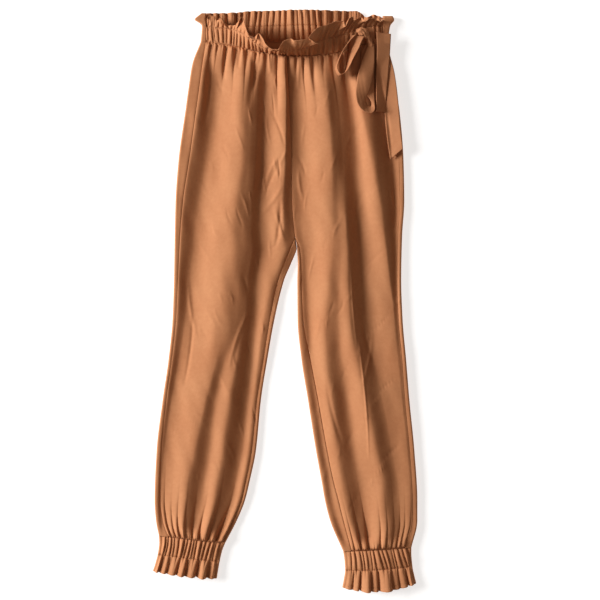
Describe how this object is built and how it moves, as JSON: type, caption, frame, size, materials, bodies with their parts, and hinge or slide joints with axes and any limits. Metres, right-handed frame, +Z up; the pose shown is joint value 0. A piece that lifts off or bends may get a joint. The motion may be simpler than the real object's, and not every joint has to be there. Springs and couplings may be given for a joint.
{
  "type": "paperbag waist trousers",
  "caption": "Women's paperbag waist trousers in soft rust cloth, laid flat: frilled elastic waist with a tie bow at the left hip, loose tapering legs and frilled elastic cuffs",
  "frame": {"origin": "on the table, under the middle of the laid-out trousers' footprint", "axes": "+X towards the wearer's left leg, +Y towards the waist, +Z up off the table, out of the front"},
  "size_m": [0.4544, 0.9958, 0.0693],
  "materials": {
    "cloth": "soft peach-skin twill, rust, with a low sheen",
    "tie": "the same cloth as the trousers, folded into a narrow tie"
  },
  "bodies": {
    "root": {"front_right": "cloth", "back_right": "cloth", "cuff_casing_right": "cloth", "cuff_frill_right": "cloth", "front_left": "cloth", "back_left": "cloth", "cuff_casing_left": "cloth", "cuff_frill_left": "cloth", "waist_casing_front": "cloth", "waist_frill_front": "cloth", "waist_casing_back": "cloth", "waist_frill_back": "cloth", "bow_loop_small": "tie", "bow_loop_large": "tie", "bow_tail_short": "tie", "bow_tail_long": "tie", "bow_knot": "tie"}
  },
  "joints": []
}
